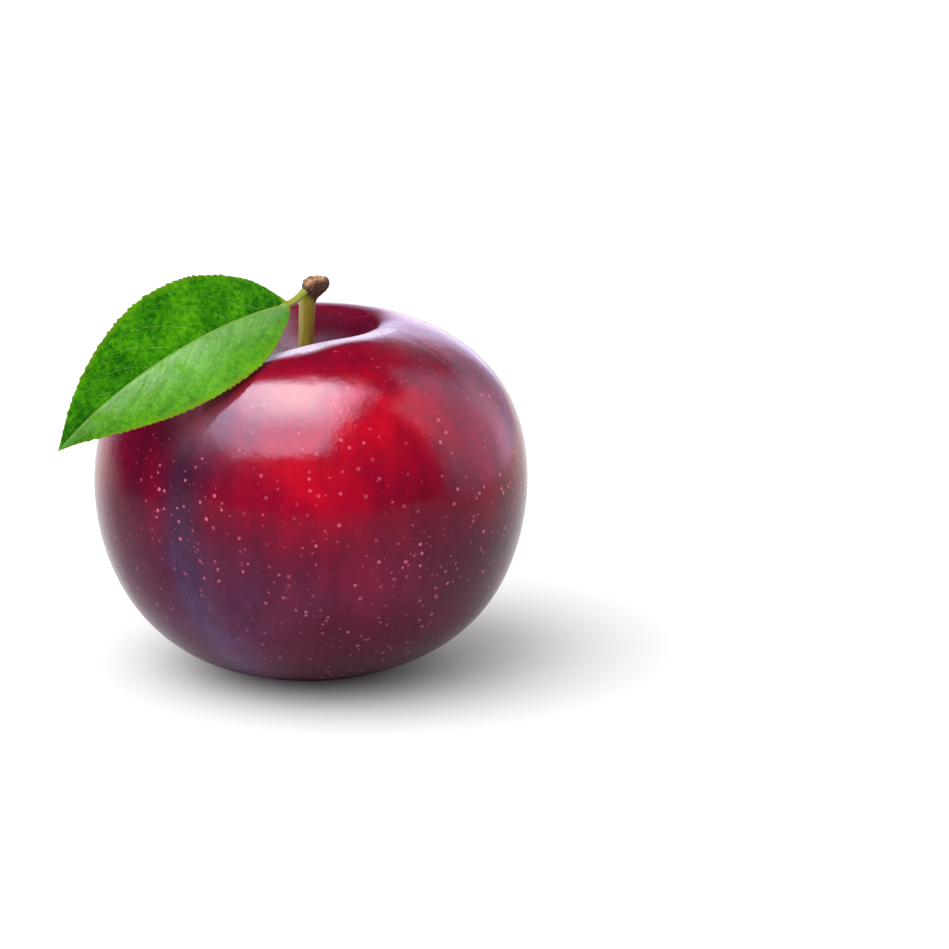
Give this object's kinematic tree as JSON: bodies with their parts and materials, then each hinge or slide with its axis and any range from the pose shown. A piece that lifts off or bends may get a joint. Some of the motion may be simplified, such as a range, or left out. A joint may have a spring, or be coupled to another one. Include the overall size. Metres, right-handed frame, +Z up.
{
  "type": "plum",
  "caption": "Ripe red-purple plum resting on its base, with a stalk cavity, a suture furrow, a stalk with a woody stub and a toothed green leaf arching over one side.",
  "frame": {"origin": "centre of the small flat spot that the plum rests on", "axes": "+Z up along the stalk, -Y towards the suture and the leaf, +X towards the fuller cheek"},
  "size_m": [0.0654, 0.0729, 0.0627],
  "materials": {
    "fruit_skin": "gloss",
    "stalk_skin": "satin",
    "woody_bark": "matte",
    "leaf_blade": "satin"
  },
  "bodies": {
    "root": {"fruit": "fruit_skin", "stalk": "stalk_skin", "woody_tip": "woody_bark", "leaf": "leaf_blade"}
  },
  "joints": []
}
